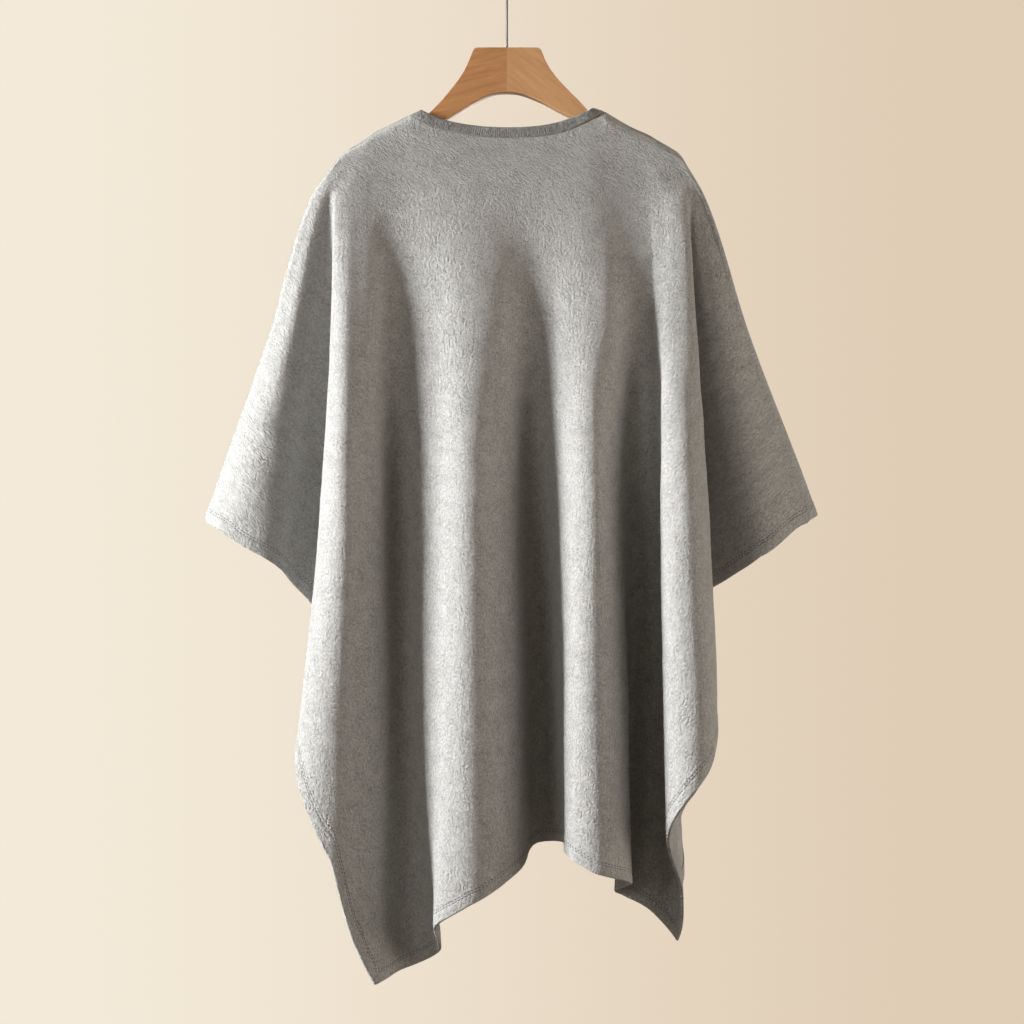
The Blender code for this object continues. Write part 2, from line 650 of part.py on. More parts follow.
def make_hook(finish, group):
    curve = bpy.data.curves.new("hook_wire", "CURVE")
    curve.dimensions = "3D"
    curve.bevel_depth = WIRE_RADIUS * MM
    curve.bevel_resolution = 2
    curve.use_fill_caps = True
    points = hook_points()
    spline = curve.splines.new("POLY")
    spline.points.add(len(points) - 1)
    for point, (x, z) in zip(spline.points, points):
        point.co = (x * MM, 0, z * MM, 1)
    add_object("hook_wire", curve, finish, group)


def main():
    clear_scene()
    group = new_collection("knitted_poncho_on_hanger")
    cutters = new_collection("cutters")
    knit = material("knit", COLORS["knit"], 0.95)
    rib = material("rib_knit", COLORS["rib"], 0.95)
    wood = material("wood_left", COLORS["wood"], 0.5)
    wood_light = material("wood_right", COLORS["wood_light"], 0.5)
    wire = material("hook_wire", COLORS["wire"], 0.35, 1.0)
    back_edge = make_panel("back_panel", BACK_FOLDS, -1, knit, group)
    front_edge = make_panel("front_panel", FRONT_FOLDS, 1, knit, group)
    make_neckband(back_edge, front_edge, rib, group)
    cutter = make_stem_cutter(cutters)
    make_arm("hanger_arm_left", ARM_LEFT, -1, wood, group, cutter)
    make_arm("hanger_arm_right", ARM_RIGHT, 1, wood_light, group, cutter)
    make_hook(wire, group)


main()
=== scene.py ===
import math

import bpy
import numpy as np
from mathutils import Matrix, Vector, noise


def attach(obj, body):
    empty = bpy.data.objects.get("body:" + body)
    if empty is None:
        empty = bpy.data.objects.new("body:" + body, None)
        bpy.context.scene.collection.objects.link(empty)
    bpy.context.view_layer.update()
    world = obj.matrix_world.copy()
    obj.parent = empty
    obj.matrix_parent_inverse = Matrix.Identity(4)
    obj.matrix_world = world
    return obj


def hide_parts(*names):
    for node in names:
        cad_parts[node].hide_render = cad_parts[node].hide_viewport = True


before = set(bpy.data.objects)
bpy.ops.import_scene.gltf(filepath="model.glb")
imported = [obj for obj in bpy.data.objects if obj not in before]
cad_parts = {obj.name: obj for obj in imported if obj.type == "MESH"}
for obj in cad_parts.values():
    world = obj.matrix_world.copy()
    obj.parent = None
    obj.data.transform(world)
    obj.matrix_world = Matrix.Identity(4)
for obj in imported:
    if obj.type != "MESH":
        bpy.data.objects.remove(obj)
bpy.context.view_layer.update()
mm = 0.001

# camera, room and light; places and sizes in metres
studio = {
    "cameraPlace": (0.0056, -2.4, -0.6244),
    "lens": 75.3,
    "farthest": 60.0,
    "aim": (0, 0, -0.62),
    "roomRadius": 5.2,
    "roomLow": -2.45,
    "roomHigh": 3.2,
    "roomSides": 96,
    # painted light on the wall: a lit tone at the left and a shaded tone at the right
    "wallLitSide": (0.905, 0.822, 0.69),
    "wallShadedSide": (0.735, 0.605, 0.462),
    "wallShadeSpread": 1.8,  # half the width over which the wall's painted light fades into painted shade
    "floor": (0.8, 0.74, 0.65),
    "floorGlow": 0.75,
    "floorPaint": (0.24, 0.22, 0.195),
    "ambient": (1.0, 0.87, 0.68),
    "ambientStrength": 0.18,
}

lights = {
    "keyLight": {"place": (-3.34, -0.7, 0.21), "size": (0.8, 0.9), "power": 20.5,
                 "color": (0.985, 0.995, 1.0), "aim": (0.15, 0.0, -0.72),
                 "spread": 44.0},  # degrees of its cone
    "softLight": {"place": (-2.3, -2.5, 0.25), "size": (1.2, 2.2), "power": 16.0,
                  "color": (1.0, 0.97, 0.93)},
    "fillLight": {"place": (3.35, -1.0, 0.1), "size": (2.2, 2.6), "power": 66.0,
                  "color": (1.0, 0.91, 0.82)},
    "rearLight": {"place": (1.2, 3.6, 0.6), "size": (2.6, 2.6), "power": 120.0,
                  "color": (1.0, 0.96, 0.9)},
}


def activate(item):
    bpy.ops.object.select_all(action="DESELECT")
    item.select_set(True)
    bpy.context.view_layer.objects.active = item


def addObject(name, data):
    item = bpy.data.objects.new(name, data)
    bpy.context.scene.collection.objects.link(item)
    return item


def areaLight(name, place, size, power, color, aim=studio["aim"], spread=180.0):
    data = bpy.data.lights.new(name, "AREA")
    data.spread = math.radians(spread)
    data.shape = "RECTANGLE"
    data.size, data.size_y = size
    data.energy = power
    data.color = color
    item = addObject(name, data)
    item.location = place
    item.rotation_euler = (Vector(aim) - Vector(place)).to_track_quat("-Z", "Y").to_euler()


def newMaterial(name):
    finish = bpy.data.materials.new(name)
    finish.use_nodes = True
    nodes = finish.node_tree.nodes
    return finish, nodes, finish.node_tree.links, nodes["Principled BSDF"]


def setSockets(node, values):
    for socket, value in values.items():
        node.inputs[socket].default_value = value


def toneBetween(nodes, links, value, limits, tones, change="LINEAR"):
    ramp = nodes.new("ShaderNodeMapRange")
    ramp.interpolation_type = change
    setSockets(ramp, {"From Min": limits[0], "From Max": limits[1]})
    links.new(value, ramp.inputs["Value"])
    mix = nodes.new("ShaderNodeMix")
    mix.data_type = "RGBA"
    setSockets(mix, {6: (*tones[0], 1.0), 7: (*tones[1], 1.0)})
    links.new(ramp.outputs["Result"], mix.inputs[0])
    return mix.outputs[2]


def buildStudio():
    camera = bpy.data.cameras.new("camera")
    camera.lens = studio["lens"]
    camera.clip_end = studio["farthest"]
    view = addObject("camera", camera)
    view.location = studio["cameraPlace"]
    view.rotation_euler = (math.radians(90), 0, 0)
    bpy.context.scene.camera = view
    bpy.context.scene.view_settings.view_transform = "Standard"

    for name, light in lights.items():
        areaLight(name, **light)
    world = bpy.data.worlds.new("studioAir")
    world.use_nodes = True
    air = world.node_tree.nodes["Background"]
    setSockets(air, {"Color": (*studio["ambient"], 1.0),
                     "Strength": studio["ambientStrength"]})
    bpy.context.scene.world = world

    low, high, radius = studio["roomLow"], studio["roomHigh"], studio["roomRadius"]
    bpy.ops.mesh.primitive_cylinder_add(vertices=studio["roomSides"], radius=radius,
                                        depth=high - low, end_fill_type="NOTHING",
                                        location=(0, 0, (high + low) / 2))
    wall = bpy.context.object
    wall.name = "studioWall"
    bpy.ops.object.shade_smooth()
    finish, nodes, links, shader = newMaterial("studioWall")
    # the wall glows with painted light, brighter to the left and darker to the right, as if
    # lit from the left
    glow = nodes.new("ShaderNodeEmission")
    place = nodes.new("ShaderNodeTexCoord")
    parts = nodes.new("ShaderNodeSeparateXYZ")
    links.new(place.outputs["Object"], parts.inputs["Vector"])
    change = studio["wallShadeSpread"]
    tone = toneBetween(nodes, links, parts.outputs["X"], (-change, change),
                       (studio["wallLitSide"], studio["wallShadedSide"]), "SMOOTHSTEP")
    links.new(tone, glow.inputs["Color"])
    links.new(glow.outputs["Emission"], nodes["Material Output"].inputs["Surface"])
    nodes.remove(shader)
    wall.data.materials.append(finish)
    for ray in ("diffuse", "glossy", "transmission", "volume_scatter", "shadow"):
        setattr(wall, "visible_" + ray, False)

    bpy.ops.mesh.primitive_circle_add(vertices=studio["roomSides"], radius=radius,
                                      fill_type="NGON", location=(0, 0, low))
    floor = bpy.context.object
    floor.name = "studioFloor"
    finish, *_, shader = newMaterial("studioFloor")
    setSockets(shader, {"Base Color": (*studio["floorPaint"], 1.0), "Roughness": 0.9,
                        "Emission Color": (*studio["floor"], 1.0),
                        "Emission Strength": studio["floorGlow"]})
    floor.visible_diffuse = False
    floor.data.materials.append(finish)
    print("studio: camera, lights, wall and floor")


buildStudio()


# smooth curves through the values of a table

def limitedSlopes(knots, values):
    widths = np.diff(knots)
    rises = np.diff(values) / widths
    slopes = np.zeros(len(knots))
    slopes[0], slopes[-1] = rises[0], rises[-1]
    for k in range(1, len(knots) - 1):
        before, after = rises[k - 1], rises[k]
        if before * after > 0:
            first = 2 * widths[k] + widths[k - 1]
            second = widths[k] + 2 * widths[k - 1]
            slopes[k] = (first + second) / (first / before + second / after)
    return slopes


def blended(share, length, start, step, ways):  # from one point of a curve to the next
    rise = share * share * (3 - 2 * share)
    leave = share * (1 - share) ** 2 * length * ways[0]
    arrive = share * share * (share - 1) * length * ways[1]
    return start + step * rise + leave + arrive


def smoothValues(knots, values, places):  # passes through the values and never overshoots
    knots, values, places = (np.asarray(line, float) for line in (knots, values, places))
    slopes = limitedSlopes(knots, values)
    spans = np.clip(np.searchsorted(knots, places, side="right") - 1, 0, len(knots) - 2)
    width = knots[spans + 1] - knots[spans]
    share = (places - knots[spans]) / width
    return blended(share, width, values[spans], np.diff(values)[spans],
                   (slopes[spans], slopes[spans + 1]))


def sectionCurve(points, places):  # rounded line through one level, square at its ends
    points = np.asarray(points, float)
    chords = np.diff(points, axis=0)
    lengths = np.linalg.norm(chords, axis=1)
    near = chords[:-1] / lengths[:-1, None] * lengths[1:, None]
    far = chords[1:] / lengths[1:, None] * lengths[:-1, None]
    ways = unit(np.vstack([(0, 1), near + far, (0, -1)]))
    spans = np.clip(places.astype(int), 0, len(points) - 2)
    share = (places - spans)[:, None]
    return blended(share, lengths[spans][:, None], points[spans], chords[spans],
                   (ways[spans], ways[spans + 1]))


def smoothRows(rows, column, places):  # one column of a table along its first
    return smoothValues([row[0] for row in rows], [row[column] for row in rows], places)


def readAt(places, along, values):
    return np.stack([np.interp(places, along, line) for line in values.T], axis=1)


def lengthAlong(points):
    spans = np.linalg.norm(np.diff(points, axis=0), axis=1)
    return np.concatenate([[0], np.cumsum(spans)])


def unit(vectors):
    return vectors / np.linalg.norm(vectors, axis=-1, keepdims=True)


def eased(share):
    share = np.clip(share, 0, 1)
    return share * share * (3 - 2 * share)


# the two knitted panels; sizes in millimetres, turns in degrees
cloth = {
    "wall": 1.7,
    "fine": 4,  # columns for each column of the plain solid
    "lapRows": 10,
    "bodyRows": 108,
    "lapRadius": 12.5,  # bend over the hanger's arm
    "seamRoll": 34.0,  # degrees that the seam lies to the back
    "seamEase": 5.0,
    "seamGap": 0.3,
    "seamDip": 0.7,  # the cloth is drawn in at the seam
    "seamDipWidth": 3.5,
    "lapHeight": 13.5,
    "lapEase": 4.0,
    "neckLap": 0.45,
    "hemWidth": 14.0,
    "hemLimit": 3.2,  # most that a slant may make the hem taller
    "leastRun": 0.3,
    "rowGap": 0.2,  # keeps the hem's first row apart from the one above
    "frontNeckDrop": 58.0,
    "frontNeckStart": 30.0,
    "waveHeight": 1.2,  # soft unevenness of the hanging cloth
    "waveWide": 40.0,
    "waveTall": 130.0,
    "waveFrom": 14.0,  # row where it begins, and over how many rows it grows
    "waveGrowth": 40.0,
    "waveSeam": 3.0,  # fold lines over which it dies out at a seam
    "waveShift": 7.3,
    "dentHeight": 0.35,
    "dentSize": 18.0,
    "dentStretch": 1.4,
    "dentShift": (2.1, 40.0),
    "yokeTop": -195.0,  # above this height the folds have gone out of the cloth
    "yokeFoot": -310.0,
    "yokeRounds": 90,
    "yokeRows": 5,  # rows below the lap over which the smoothing sets in
    "yokeFrom": 1.5,  # fold lines from the seam that it leaves alone
    "yokeFade": 2.5,
    "plainFoot": -277.0,  # above this height the sleeve and the back are one plain surface
    "plainFade": 20.0,
    "plainFrom": 2.5,
    "plainTo": 8.0,
}

levels = (-275, -420, -640, -880, -1120)  # heights at which the fold lines are placed

reach = {  # distance from the middle plane at those heights
    "seam": (0, 0, 0, 0, 0),
    "lap": (8, 9, 10, 10, 10),
    "edge": (11, 13, 16, 16, 16),
    "wing": (13, 26, 44, 46, 46),
    "inner": (11, 17, 26, 27, 27),
    "recess": (10, 5, 3.5, 3.5, 3.5),
    "nose": (15, 36, 68, 88, 100),
    "crest": (18, 54, 100, 130, 146),
    "flank": (17, 42, 68, 84, 92),
    "floor": (15, 22, 24, 22, 22),
    "rise": (15, 24, 30, 34, 36),
    "corner": (16, 28, 40, 50, 54),
    "side": (15, 36, 68, 88, 100),
}

shoulderReach = {"seam": 0.0, "lap": 8.0}  # and the bend over the arm for the rest

steps = {  # columns of the plain solid after a fold line of each kind, else two
    "seam": 1, "lap": 1, "slot": 3, "recess": 3, "nose": 3, "crest": 3, "brow": 3, "side": 3,
}

# fold lines from the left sleeve to the right one, named after their kinds: x on the shoulder
# line, x at each level, height of the lower edge, distances where they aren't the kind's
backFolds = (
    ("seamLeft", -187, -220, -264, -340, -412, -478, -633),
    ("lapLeft", -184.5, -217, -260, -334, -404, -465, -637),
    ("edgeLeft", -181, -212, -253, -324, -386, -442, -641, (11, 15, 25, 27, 27)),
    ("wingLeft", -176.5, -207, -240, -290, -338, -382, -660, (12.6, 23, 44, 49, 49)),
    ("innerLeft", -172.5, -203.5, -225, -254, -270, -286, -681, (12.2, 19, 41, 46, 46)),
    ("slotLeft", -169.5, -200.5, -211, -228, -242, -256, -712, (11.5, 6, 5, 5, 5)),
    ("recessLeft", -166.5, -196.5, -192, -186, -192, -198, -779, (11, 5, 4, 4, 4)),
    ("nose1", -161, -190, -193.5, -203, -225, -250, -905, (15.5, 35, 68, 86, 96)),
    ("crest1", -153, -177, -178, -174, -183, -193, -1000, (17.2, 48, 91, 106, 114)),
    ("brow1", -147.5, -165, -165, -159, -162, -159, -1096, (16.4, 45.5, 82, 97, 104)),
    ("flank1", -142, -154, -153, -144, -143, -142, -1134, (15.4, 42, 68, 84, 92)),
    ("floor1", -128, -129, -131, -120, -112, -110, -1123, (13.2, 22, 33, 49, 56)),
    ("corner2", -118, -110, -97, -94, -88, -71, -1096, (13.6, 27, 61, 79, 85)),
    ("nose2", -108, -94, -80, -75, -75, -78, -1071, (14.8, 34, 76, 94, 102)),
    ("crest2", -69, -61, -49, -39, -39, -40, -1043, (17.0, 46, 98, 117, 128)),
    ("flank2", -32, -23, -10, 1, 8, 13, -1014, (16, 42, 68, 84, 92)),
    ("floor2", 7, 14, 22, 34, 40, 43, -990, (14.2, 22, 24, 22, 22)),
    ("corner3", 43, 44, 48, 54, 62, 69, -986, (14.4, 26, 60, 74, 74)),
    ("nose3", 62, 60, 63, 64, 65, 63, -992, (14.8, 34, 80, 100, 110)),
    ("crest3", 87, 83, 89, 93, 92, 94, -1008, (15.6, 41.5, 101, 121, 132)),
    ("flank3", 110, 108, 111, 119, 129, 136, -1025, (13.6, 40, 68, 84, 92)),
    ("floor3", 129, 135, 142, 145, 139, 121, -1049, (9.8, 19, 24, 22, 22)),
    ("rise3", 140, 151, 157, 160, 158, 152, -1061, (9.4, 19, 30, 34, 36)),
    ("rise4", 147, 159, 165, 170, 178, 189, -1098, (9.6, 19.5, 30, 34, 36)),
    ("corner4", 154, 165, 168, 178, 183, 194, -1042, (10.4, 25, 50, 62, 66)),
    ("nose4", 159, 172, 173, 168, 171, 181, -967, (11.5, 31, 88, 108, 118)),
    ("crest4", 164, 183, 187, 194, 205, 204, -914, (14.1, 36.5, 108, 130, 140)),
    ("side4", 168.5, 198.5, 208, 219, 225, 212, -874, (13.8, 33, 76, 102, 112)),
    ("recessRight", 173.5, 204.5, 202, 207, 205, 205, -727, (9.5, 5, 3.5, 3.5, 3.5)),
    ("innerRight", 178.5, 209, 221, 240, 262, 284, -698, (8.6, 14, 26, 27, 27)),
    ("wingRight", 183.5, 213.5, 238, 272, 322, 362, -674, (7.8, 19, 44, 46, 46)),
    ("edgeRight", 188, 217, 260, 335, 393, 448, -637, (7.0, 12, 16, 16, 16)),
    ("lapRight", 191.5, 219.5, 265, 345, 410, 472, -631),
    ("seamRight", 194, 222, 269, 351, 419, 485, -628),
)

frontFolds = (
    ("seamLeft", -187, -220, -264, -340, -412, -478, -633),
    ("lapLeft", -184.5, -218, -261.5, -335, -405, -469, -635),
    ("edgeLeft", -181, -215, -256, -328, -391, -448, -641),
    ("wingLeft", -176.5, -211, -243, -300, -349, -395, -653),
    ("innerLeft", -171.5, -206, -225, -256, -277, -293, -686),
    ("recessLeft", -166.5, -200.5, -190, -180, -185, -190, -775),
    ("nose1", -161, -195, -200, -207, -220, -233, -916),
    ("crest1", -153, -177, -180, -175, -184, -192, -1041),
    ("flank1", -142, -156, -152, -137, -136, -137, -1130),
    ("floor1", -128, -127, -119, -98, -92, -89, -1091),
    ("corner2", -118, -116, -83, -58, -49, -47, -1071),
    ("nose2", -108, -105, -81, -67, -61, -58, -1069),
    ("crest2", -69, -76, -47, -30, -22, -18, -1062),
    ("flank2", -32, -26, -10, 8, 21, 27, -996),
    ("floor2", 7, 12, 26, 44, 52, 55, -968),
    ("corner3", 43, 44, 55, 74, 81, 83, -970),
    ("nose3", 62, 55, 58, 64, 71, 73, -992),
    ("crest3", 87, 92, 84, 97, 105, 108, -1034),
    ("flank3", 110, 116, 109, 121, 136, 143, -1036),
    ("floor3", 129, 131, 137, 147, 151, 153, -1036),
    ("rise3", 141, 146, 154, 163, 169, 172, -1049),
    ("rise4", 150, 158, 164, 173, 184, 190, -1079),
    ("corner4", 154.5, 163, 173, 184, 195, 201, -1051),
    ("nose4", 157.5, 168, 172, 179, 194, 207, -1013),
    ("crest4", 162.5, 180, 189, 206, 217, 211, -966),
    ("side4", 168.5, 199, 208, 223, 232, 214, -899),
    ("recessRight", 173.5, 205, 200, 203, 199, 199, -712),
    ("innerRight", 178.5, 210.5, 227, 254, 275, 298, -676),
    ("wingRight", 183.5, 215.5, 246, 299, 350, 390, -652),
    ("edgeRight", 188, 219, 262, 339, 398, 454, -635),
    ("lapRight", 191.5, 220.5, 266, 347, 413, 477, -629),
    ("seamRight", 194, 222, 269, 351, 419, 485, -628),
)

# x and height along the shoulder seams and the back neckline
shoulderLeft = (
    (-187, -226.5), (-181, -221), (-166, -212), (-155, -204), (-137, -194), (-118, -185),
    (-108, -180),
)

shoulderRight = (
    (194, -225), (190, -221), (175, -212), (159, -203), (139, -194), (123, -185),
    (110, -177),
)

backNeck = (
    (-108, -182), (-94, -190), (-77, -198), (-68, -200), (-38, -206), (-4, -208),
    (29, -207), (62, -202), (90, -190), (110, -179),
)

# the hanger's arms: distance from the middle, height of the upper and the lower edge
armLeft = (
    (0.02, -105.5, -155), (10, -105.5, -155.8), (20, -105.5, -158.6), (34, -105.7, -165.2),
    (37.5, -108, -167), (41.5, -118, -169.5), (50, -135, -174.5), (64, -154, -183.5),
    (78, -170, -192), (92, -183, -199), (108, -193, -209), (140, -208, -225),
    (163, -221, -239), (174, -230, -245), (180, -236, -247),
)

armRight = (
    (0.02, -105.5, -155), (10, -105.5, -155.6), (20, -105.5, -158), (34, -105.7, -163.6),
    (38, -108, -165.3), (42, -118, -167.1), (49, -130.5, -171), (64, -148.5, -179),
    (79, -163.5, -186), (88, -173, -191), (97, -181.5, -197), (110, -191, -205),
    (140, -206, -221), (168, -221, -237), (180, -230, -243), (186, -235, -245),
)

neckFolds = ("nose2", "flank3")  # the neckline runs between these two fold lines
cornerFolds = ("flank1", "rise4")  # and the hem has its corners on these two
backNeckRoll = (34, 62, 90)  # degrees, in the first columns after the neck point
frontNeckRoll = (-34, 8, 49, 90)
frontNeckInset = (0, 2, 5, 10)

# rows across the turned hem: distance from the edge, height of the cloth's middle
hemRows = (
    (17.0, 0.0), (15.6, 0.35), (14.4, 0.5), (13.4, -0.05), (12.4, 0.45), (11.7, 0.45),
    (10.9, -0.05), (10.0, 0.45), (8.2, 0.6), (5.4, 0.6), (2.8, 0.55), (1.4, 0.5),
    (0.8, 0.42), (0.25, 0.0), (0.0, -0.55), (0.25, -1.1), (0.8, -1.45), (2.8, -1.5),
    (7.0, -1.5), (11.0, -1.5), (12.8, -1.45),
)
hemStart = cloth["lapRows"] + cloth["bodyRows"]  # rows above the hem
flatRow = 11  # last row before the cloth bends round the edge
foldRow = 14  # the edge itself
stitchRows = (3, 6)  # rows that the needles press in


def kindOf(fold):
    return fold[0].rstrip("1234").removesuffix("Left").removesuffix("Right")


def foldNumber(folds, name):
    return [fold[0] for fold in folds].index(name)


def columnPlaces(folds):
    places = []
    for index, fold in enumerate(folds[:-1]):
        count = steps.get(kindOf(fold), 2) * cloth["fine"]
        places += [index + step / count for step in range(count)]
    return np.array(places + [len(folds) - 1.0])


def edgeHeights(folds, places):
    breaks = [0, *(foldNumber(folds, name) for name in cornerFolds), len(folds) - 1]
    ends = np.array([fold[7] for fold in folds], float)
    heights = np.empty(len(places))
    for first, last in zip(breaks[:-1], breaks[1:]):
        inside = (places >= first) & (places <= last)
        heights[inside] = smoothValues(np.arange(first, last + 1), ends[first:last + 1],
                                       places[inside])
    return heights


def topLine(x):
    rows = shoulderLeft if x < 0 else shoulderRight[::-1]
    near = np.clip(np.array([x - 1.0, x, x + 1.0]), rows[0][0], rows[-1][0])
    heights = smoothRows(rows, 1, near)
    return heights[1], (heights[2] - heights[0]) / 2


def neckPoints(side, coarse):  # neckline and the roll of the cloth along it
    radius = cloth["lapRadius"]
    knots = np.linspace(0, 1, len(backNeck))
    share = np.linspace(0, 1, coarse)
    x, z = (smoothValues(knots, line, share) for line in zip(*backNeck))
    start = backNeckRoll
    if side > 0:
        start = frontNeckRoll
        turn = len(start) - 1
        left, right = backNeck[0], backNeck[-1]
        first = math.radians(cloth["frontNeckStart"])
        half = (right[0] - left[0]) / 2 - frontNeckInset[turn]
        sweep = np.linspace(first, math.pi - first, coarse - 2 * turn)
        fall = (np.sin(sweep) - math.sin(first)) / (1 - math.sin(first))
        x[turn:coarse - turn] = ((left[0] + right[0]) / 2
                                 - half * np.cos(sweep) / math.cos(first))
        z[turn:coarse - turn] = ((left[1] + right[1]) / 2 - radius
                                 - cloth["frontNeckDrop"] * fall)
        apex = radius * (1 - math.cos(math.radians(cloth["seamRoll"])))
        for step in range(turn):
            drop = radius * (1 - math.cos(math.radians(start[step])))
            x[step] = left[0] + frontNeckInset[step]
            z[step] = left[1] + apex - drop
            x[coarse - 1 - step] = right[0] - frontNeckInset[step]
            z[coarse - 1 - step] = right[1] + apex - drop
    rolls = np.full(coarse, 90.0)
    rolls[:len(start)] = start
    rolls[-len(start):] = start[::-1]
    at = np.arange((coarse - 1) * cloth["fine"] + 1) / cloth["fine"]
    count = np.arange(coarse)
    x, z, rolls = (smoothValues(count, line, at) for line in (x, z, rolls))
    return x, z, np.radians(rolls)


def lapPath(roll, length):
    radius = cloth["lapRadius"]
    bent = min(roll + length / radius, math.pi / 2)
    straight = length - (bent - roll) * radius
    return radius * (1 - math.cos(bent)) + straight, radius * math.sin(bent), bent


def hemDrops(curves, ends):  # upright height of the hem, so that it is one width all round
    count = len(ends)
    drops = np.full(count, cloth["hemWidth"])
    for column in range(1, count - 1):
        before, after = column - 1, column + 1
        level = int(np.argmin(np.abs(np.array(levels) - ends[column])))
        run = np.linalg.norm(curves[level, after] - curves[level, before])
        rise = abs(ends[after] - ends[before])
        run = max(run, cloth["leastRun"])
        lean = min(math.hypot(1, rise / run), cloth["hemLimit"])
        drops[column] = cloth["hemWidth"] * lean
    inward = eased(np.minimum(np.arange(count), count - 1 - np.arange(count)) / cloth["fine"])
    drops = cloth["hemWidth"] + (drops - cloth["hemWidth"]) * inward
    for _ in range(2):
        drops[1:-1] = (drops[:-2] + 2 * drops[1:-1] + drops[2:]) / 4
    return drops


def shoulderLine(folds, side, places, ownRolls):  # x, height, slope and roll of the top
    topX = smoothValues(np.arange(len(folds)), [fold[1] for fold in folds], places)
    rolls = ownRolls.copy()
    tops, slopes = np.array([topLine(x) for x in topX]).T
    first, final = (foldNumber(folds, name) for name in neckFolds)
    neck = np.where((places >= first) & (places <= final))[0]
    neckX, neckZ, neckRoll = neckPoints(side, (len(neck) - 1) // cloth["fine"] + 1)
    topX[neck] = neckX
    tops[neck[1:-1]] = (neckZ + cloth["lapRadius"] * (1 - np.cos(neckRoll)))[1:-1]
    rolls[neck] = neckRoll
    level = (rolls[neck] - ownRolls[neck]) / (math.pi / 2 - ownRolls[neck])
    slopes[neck] = np.where(np.arange(len(neck)) < len(neck) / 2, slopes[neck[0]],
                            slopes[neck[-1]]) * (1 - level)
    return topX, tops, slopes, rolls, neck


def panelSurface(folds, side):  # middle of the cloth by row and column, its outward way
    places = columnPlaces(folds)
    last = len(folds) - 1
    ease = eased(np.minimum(places, last - places) / cloth["seamEase"])
    seamRolls = math.radians(cloth["seamRoll"]) * ease
    ownRolls = -side * seamRolls
    foldReach = [fold[8] if len(fold) > 8 else reach[kindOf(fold)] for fold in folds]
    curves = np.array([
        sectionCurve([(fold[2 + n], own[n]) for fold, own in zip(folds, foldReach)], places)
        for n in range(len(levels))])
    ends = edgeHeights(folds, places)
    drops = hemDrops(curves, ends)
    radius = cloth["lapRadius"]
    topX, tops, slopes, rolls, neck = shoulderLine(folds, side, places, ownRolls)
    kindReach = [shoulderReach.get(kindOf(fold), radius) for fold in folds]
    topReach = smoothValues(np.arange(len(folds)), kindReach, places)
    lapRows = cloth["lapRows"]
    grid = np.empty((hemStart + len(hemRows), len(places), 3))
    lapNormals = np.zeros((lapRows, len(places), 3))
    hemAway = np.array([row[0] for row in hemRows])
    for column, place in enumerate(places):
        ownRoll = ownRolls[column]
        baseDrop = radius * (1 - math.cos(ownRoll))
        lengths = np.linspace(0, radius * (math.pi / 2 - ownRoll), lapRows)
        inward = min(1.0, min(place, last - place) / cloth["lapEase"])
        share = (rolls[column] - ownRoll) / (math.pi / 2 - ownRoll)
        lean = math.hypot(1, slopes[column])
        leftOver = 1 - (1 - cloth["neckLap"]) * share
        heights, reaches = [], []
        for row, length in enumerate(lengths):
            drop, out, roll = lapPath(rolls[column], length * leftOver)
            plain = baseDrop + cloth["lapHeight"] * row / (lapRows - 1)
            heights.append(tops[column] - (plain + (drop - plain) * inward) * lean)
            reaches.append(min(out, topReach[column]))
            if inward == 1.0:
                up = np.array((-slopes[column], 0, 1)) / lean
                lapNormals[row, column] = math.cos(roll) * up
                lapNormals[row, column, 1] = side * math.sin(roll)
        knots = -np.array([heights[-1], *levels])
        depths = [reaches[-1], *curves[:, column, 1]]
        spread = -np.array([heights[0], *levels])
        across = [topX[column], *curves[:, column, 0]]
        hem = ends[column] + drops[column] * hemAway / cloth["hemWidth"]
        body = np.linspace(heights[-1], hem[0], cloth["bodyRows"] + 1)[1:]
        heights = np.array([*heights, *body, *hem])
        grid[:, column, 0] = smoothValues(spread, across, -heights)
        grid[lapRows:, column, 1] = smoothValues(knots, depths, -heights[lapRows:])
        grid[:lapRows, column, 1] = reaches
        grid[:, column, 1] *= side
        grid[:, column, 2] = heights
    grid[hemStart, :, 2] -= cloth["rowGap"]
    smoothYoke(grid, places, last)
    return places, grid, lapNormals, seamRolls, neck


def smoothYoke(grid, places, last):  # the folds come out of a flat yoke
    lap = cloth["lapRows"]
    top, foot = cloth["yokeTop"], cloth["yokeFoot"]
    plain = eased((grid[lap:, :, 2] - cloth["plainFoot"]) / cloth["plainFade"])
    outside, inside = cloth["plainFrom"], cloth["plainTo"]
    for first, final in ((outside, inside), (last - inside, last - outside)):
        patch = np.where((places >= first) & (places <= final))[0]
        for row, height in zip(grid[lap:], plain):
            ends = [patch[0], patch[-1]]
            level = np.interp(row[patch, 0], row[ends, 0], row[ends, 1])
            row[patch, 1] += (level - row[patch, 1]) * height[patch]
    share = 0.5 * eased((grid[lap:, :, 2] - foot) / (top - foot))
    share *= eased(np.arange(1, len(share) + 1) / cloth["yokeRows"])[:, None]
    inward = np.minimum(places, last - places) - cloth["yokeFrom"]
    share *= eased(inward / cloth["yokeFade"])[None, :]
    for _ in range(cloth["yokeRounds"]):
        depth = grid[lap:, :, 1]
        mean = (depth[:, :-2] + depth[:, 2:]) / 2
        depth[:, 1:-1] += (mean - depth[:, 1:-1]) * share[:, 1:-1]


def surfaceNormals(grid, lapNormals, side):
    outer = grid[:hemStart + foldRow + 1]
    along = np.gradient(outer, axis=1)
    down = np.gradient(outer, axis=0)
    ways = unit(np.cross(along, down))
    if ways[:, :, 1].mean() * side < 0:
        ways = -ways
    known = np.linalg.norm(lapNormals, axis=2) > 0.5
    ways[:cloth["lapRows"]][known] = lapNormals[known]
    ways[hemStart + flatRow + 1:] = ways[hemStart + flatRow]
    away = np.array(hemRows)[:, 0]
    near = np.abs(away[foldRow + 1:, None] - away[:foldRow + 1]).argmin(axis=1)
    return np.concatenate([ways, ways[hemStart + near]])


